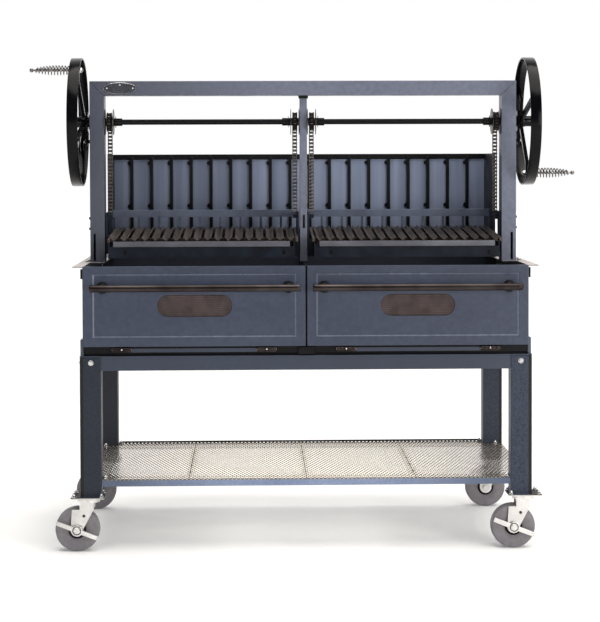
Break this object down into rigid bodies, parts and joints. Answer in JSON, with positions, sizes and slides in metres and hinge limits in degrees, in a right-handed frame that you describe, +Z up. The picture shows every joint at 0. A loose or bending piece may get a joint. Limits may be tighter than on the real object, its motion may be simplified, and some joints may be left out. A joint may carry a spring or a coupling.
{
  "type": "double open-fire grill cart",
  "caption": "Wheeled open-fire grill with twin fireboxes, drop-down doors, sloping V-bar grates raised by hand wheels on chains, and a mesh shelf.",
  "frame": {"origin": "on the floor under the middle of the whole object's box", "axes": "+X to the right seen from the front, +Y to the back, +Z up; the doors face -Y"},
  "size_m": [1.926, 0.8984, 1.6805],
  "materials": {
    "blue_paint": "satin blue-grey enamel on sheet steel",
    "cart_paint": "fine-textured dark navy powder coat",
    "black_paint": "satin black heat-proof paint",
    "wheel_gloss": "gloss black enamel",
    "bronze": "dark bronze semi-gloss",
    "chain_steel": "oiled steel",
    "grate_steel": "bare mill steel, lightly browned",
    "tray_steel": "bare folded sheet",
    "zinc": "bright zinc plate",
    "wheel_rubber": "grey moulded tread",
    "mesh_steel": "galvanised expanded metal",
    "firebrick": "dry firebrick",
    "bright_steel": "polished wire"
  },
  "bodies": {
    "cart": {"cart_top_frame": "cart_paint", "shelf_frame": "cart_paint", "shelf_mesh": "mesh_steel", "leg_front_left": "cart_paint", "leg_front_right": "cart_paint", "leg_rear_left": "cart_paint", "leg_rear_right": "cart_paint", "firebox_pan": "black_paint", "firebox_back_wall": "blue_paint", "firebox_divider": "blue_paint", "firebox_left_wall": "blue_paint", "firebox_right_wall": "blue_paint", "back_shield": "blue_paint", "rib_rack": "black_paint", "firebrick_floor_left": "firebrick", "firebrick_floor_right": "firebrick", "post_left": "blue_paint", "post_right": "blue_paint", "post_centre": "blue_paint", "top_beam": "blue_paint", "hinge_left": "black_paint", "hinge_right": "black_paint", "bearing_left": "black_paint", "bearing_right": "black_paint"},
    "door_left": {"door_left": "blue_paint", "door_handle_left": "bronze"},
    "lift_left": {"carriage_left": "black_paint", "grate_left": "grate_steel", "chain_left_inner": "chain_steel", "chain_left_outer": "chain_steel"},
    "tray_left": {"drip_tray_left": "tray_steel"},
    "shaft_left": {"shaft_left": "black_paint", "hand_wheel_left": "wheel_gloss", "coil_handle_left": "bright_steel", "sprocket_left_inner": "chain_steel", "sprocket_left_outer": "chain_steel"},
    "pawl_left": {"pawl_left": "black_paint"},
    "door_right": {"door_right": "blue_paint", "door_handle_right": "bronze"},
    "lift_right": {"carriage_right": "black_paint", "grate_right": "grate_steel", "chain_right_inner": "chain_steel", "chain_right_outer": "chain_steel"},
    "tray_right": {"drip_tray_right": "tray_steel"},
    "shaft_right": {"shaft_right": "black_paint", "hand_wheel_right": "wheel_gloss", "coil_handle_right": "bright_steel", "sprocket_right_inner": "chain_steel", "sprocket_right_outer": "chain_steel"},
    "pawl_right": {"pawl_right": "black_paint"},
    "swivel_front_left": {"caster_fork_front_left": "zinc"},
    "wheel_front_left": {"caster_wheel_front_left": "wheel_rubber"},
    "brake_front_left": {"brake_lever_front_left": "zinc"},
    "swivel_front_right": {"caster_fork_front_right": "zinc"},
    "wheel_front_right": {"caster_wheel_front_right": "wheel_rubber"},
    "brake_front_right": {"brake_lever_front_right": "zinc"},
    "swivel_rear_left": {"caster_fork_rear_left": "zinc"},
    "wheel_rear_left": {"caster_wheel_rear_left": "wheel_rubber"},
    "swivel_rear_right": {"caster_fork_rear_right": "zinc"},
    "wheel_rear_right": {"caster_wheel_rear_right": "wheel_rubber"}
  },
  "joints": [
    {"name": "door_left_hinge", "type": "hinge", "parent": "cart", "child": "door_left", "pos_m": [-0.376, -0.38922, 0.684], "axis": [1, 0, 0], "range_deg": [0, 90]},
    {"name": "lift_left_slide", "type": "slide", "parent": "cart", "child": "lift_left", "axis": [0, 0, 1], "range_m": [-0.15, 0.2], "deforming": ["chain_left_inner", "chain_left_outer"]},
    {"name": "tray_left_slide", "type": "slide", "parent": "lift_left", "child": "tray_left", "axis": [0, -1, 0], "range_m": [0, 0.12]},
    {"name": "shaft_left_turn", "type": "hinge", "parent": "cart", "child": "shaft_left", "pos_m": [-0.409, -0.06223, 1.455], "axis": [1, 0, 0], "range_deg": [-302, 402]},
    {"name": "pawl_left_pivot", "type": "hinge", "parent": "cart", "child": "pawl_left", "pos_m": [-0.761, -0.06223, 1.3865], "axis": [1, 0, 0], "range_deg": [0, 45]},
    {"name": "door_right_hinge", "type": "hinge", "parent": "cart", "child": "door_right", "pos_m": [0.376, -0.38922, 0.684], "axis": [1, 0, 0], "range_deg": [0, 90]},
    {"name": "lift_right_slide", "type": "slide", "parent": "cart", "child": "lift_right", "axis": [0, 0, 1], "range_m": [-0.15, 0.2], "deforming": ["chain_right_inner", "chain_right_outer"]},
    {"name": "tray_right_slide", "type": "slide", "parent": "lift_right", "child": "tray_right", "axis": [0, -1, 0], "range_m": [0, 0.12]},
    {"name": "shaft_right_turn", "type": "hinge", "parent": "cart", "child": "shaft_right", "pos_m": [0.409, -0.06223, 1.455], "axis": [1, 0, 0], "range_deg": [-302, 402]},
    {"name": "pawl_right_pivot", "type": "hinge", "parent": "cart", "child": "pawl_right", "pos_m": [0.761, -0.06223, 1.3865], "axis": [1, 0, 0], "range_deg": [0, 45]},
    {"name": "swivel_front_left_turn", "type": "hinge", "parent": "cart", "child": "swivel_front_left", "pos_m": [-0.7387, -0.35318, 0.1807], "axis": [0, 0, 1], "continuous": true},
    {"name": "wheel_front_left_spin", "type": "hinge", "parent": "swivel_front_left", "child": "wheel_front_left", "pos_m": [-0.7757, -0.35318, 0.0745], "axis": [0, 1, 0], "continuous": true},
    {"name": "brake_front_left_press", "type": "hinge", "parent": "swivel_front_left", "child": "brake_front_left", "pos_m": [-0.7757, -0.39267, 0.0745], "axis": [0, -1, 0], "range_deg": [0, 14]},
    {"name": "swivel_front_right_turn", "type": "hinge", "parent": "cart", "child": "swivel_front_right", "pos_m": [0.7387, -0.35318, 0.1807], "axis": [0, 0, 1], "continuous": true},
    {"name": "wheel_front_right_spin", "type": "hinge", "parent": "swivel_front_right", "child": "wheel_front_right", "pos_m": [0.7017, -0.35318, 0.0745], "axis": [0, 1, 0], "continuous": true},
    {"name": "brake_front_right_press", "type": "hinge", "parent": "swivel_front_right", "child": "brake_front_right", "pos_m": [0.7017, -0.39267, 0.0745], "axis": [0, -1, 0], "range_deg": [0, 14]},
    {"name": "swivel_rear_left_turn", "type": "hinge", "parent": "cart", "child": "swivel_rear_left", "pos_m": [-0.7387, 0.39822, 0.1807], "axis": [0, 0, 1], "continuous": true},
    {"name": "wheel_rear_left_spin", "type": "hinge", "parent": "swivel_rear_left", "child": "wheel_rear_left", "pos_m": [-0.7757, 0.39822, 0.0745], "axis": [0, 1, 0], "continuous": true},
    {"name": "swivel_rear_right_turn", "type": "hinge", "parent": "cart", "child": "swivel_rear_right", "pos_m": [0.7387, 0.39822, 0.1807], "axis": [0, 0, 1], "continuous": true},
    {"name": "wheel_rear_right_spin", "type": "hinge", "parent": "swivel_rear_right", "child": "wheel_rear_right", "pos_m": [0.7017, 0.39822, 0.0745], "axis": [0, 1, 0], "continuous": true}
  ],
  "couplings": [
    {"joint": "shaft_left_turn", "follows": "lift_left_slide", "rad_per_m": 35.043},
    {"joint": "shaft_right_turn", "follows": "lift_right_slide", "rad_per_m": 35.043}
  ]
}
